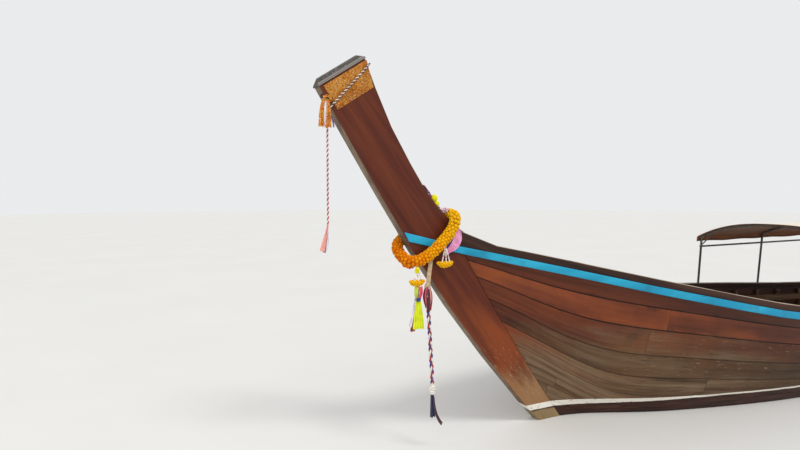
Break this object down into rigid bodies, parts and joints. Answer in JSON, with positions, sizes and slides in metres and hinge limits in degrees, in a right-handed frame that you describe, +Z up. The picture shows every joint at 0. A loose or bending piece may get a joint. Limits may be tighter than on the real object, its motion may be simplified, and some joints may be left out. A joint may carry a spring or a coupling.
{
  "type": "longtail boat",
  "caption": "Plank-built wooden boat with a tall raked prow, cloth canopy on steel bows and an engine on a swivel post driving a propeller on a long tail tube.",
  "frame": {"origin": "on the waterline, amidships on the centreline", "axes": "+X towards the bow, +Y to port, +Z up"},
  "size_m": [13.6916, 2.0996, 3.4708],
  "materials": {
    "varnished_wood": "satin",
    "weathered_wood": "matte",
    "dark_wood": "satin",
    "bottom_paint": "matte",
    "blue_paint": "satin",
    "grey_paint": "matte",
    "steel": "satin",
    "black_paint": "satin",
    "engine_iron": "satin",
    "engine_alloy": "satin",
    "bronze": "satin",
    "canopy_cloth": "matte",
    "gold_cloth": "matte",
    "marigold": "matte",
    "pink_cloth": "matte",
    "tan_cloth": "matte",
    "yellow_cloth": "matte",
    "red_cord": "matte",
    "plait": "matte",
    "plastic": "matte"
  },
  "bodies": {
    "hull": {"bench_aft": "weathered_wood", "bench_fore": "weathered_wood", "bench_fourth": "weathered_wood", "bench_second": "weathered_wood", "bench_third": "weathered_wood", "bottom_planking_port": "bottom_paint", "bottom_planking_starboard": "bottom_paint", "bow_braid": "plait", "bow_deck": "weathered_wood", "braid_knot": "plait", "braid_tail": "plait", "canopy_bow_1": "steel", "canopy_bow_2": "steel", "canopy_bow_3": "steel", "canopy_cover": "canopy_cloth", "canopy_side_port": "steel", "canopy_side_starboard": "steel", "engine_beam": "dark_wood", "engine_post": "steel", "floorboards": "weathered_wood", "frames_port": "weathered_wood", "frames_starboard": "weathered_wood", "fuel_can": "plastic", "gunwale_port": "dark_wood", "gunwale_starboard": "dark_wood", "head_cord": "red_cord", "head_cord_tail": "red_cord", "head_knot": "red_cord", "head_tassel": "gold_cloth", "inner_stem": "dark_wood", "keel": "bottom_paint", "marigold_garland": "marigold", "prow_cloth_band": "gold_cloth", "prow_head_cap": "grey_paint", "prow_post": "varnished_wood", "ribbon_bunch": "yellow_cloth", "rub_rail_port": "blue_paint", "rub_rail_starboard": "blue_paint", "sash": "pink_cloth", "side_planking_port": "weathered_wood", "side_planking_starboard": "weathered_wood", "stem_post": "varnished_wood", "stern_deck": "weathered_wood", "tie_cloth": "tan_cloth", "transom": "dark_wood", "upper_planking_port": "varnished_wood", "upper_planking_starboard": "varnished_wood"},
    "swivel": {"swivel_fork": "steel"},
    "engine": {"engine_cradle": "steel", "engine_block": "engine_iron", "cylinder_head": "engine_alloy", "gearbox": "engine_alloy", "exhaust": "black_paint", "air_cleaner": "black_paint", "belt_pulleys": "steel", "alternator": "engine_alloy", "tiller": "steel", "tail_tube": "black_paint", "tail_fin": "steel"},
    "propeller": {"propeller": "bronze"}
  },
  "joints": [
    {"name": "engine_swivel", "type": "hinge", "parent": "hull", "child": "swivel", "pos_m": [-3.8, 0, 1.01], "axis": [0, 0, 1], "range_deg": [-60, 60]},
    {"name": "engine_tilt", "type": "hinge", "parent": "swivel", "child": "engine", "pos_m": [-3.8, 0, 1.13], "axis": [0, 1, 0], "range_deg": [-20, 5]},
    {"name": "propeller_spin", "type": "hinge", "parent": "engine", "child": "propeller", "pos_m": [-7.27416, 0, 0.91525], "axis": [0.9956, 0, 0.0935], "continuous": true}
  ]
}
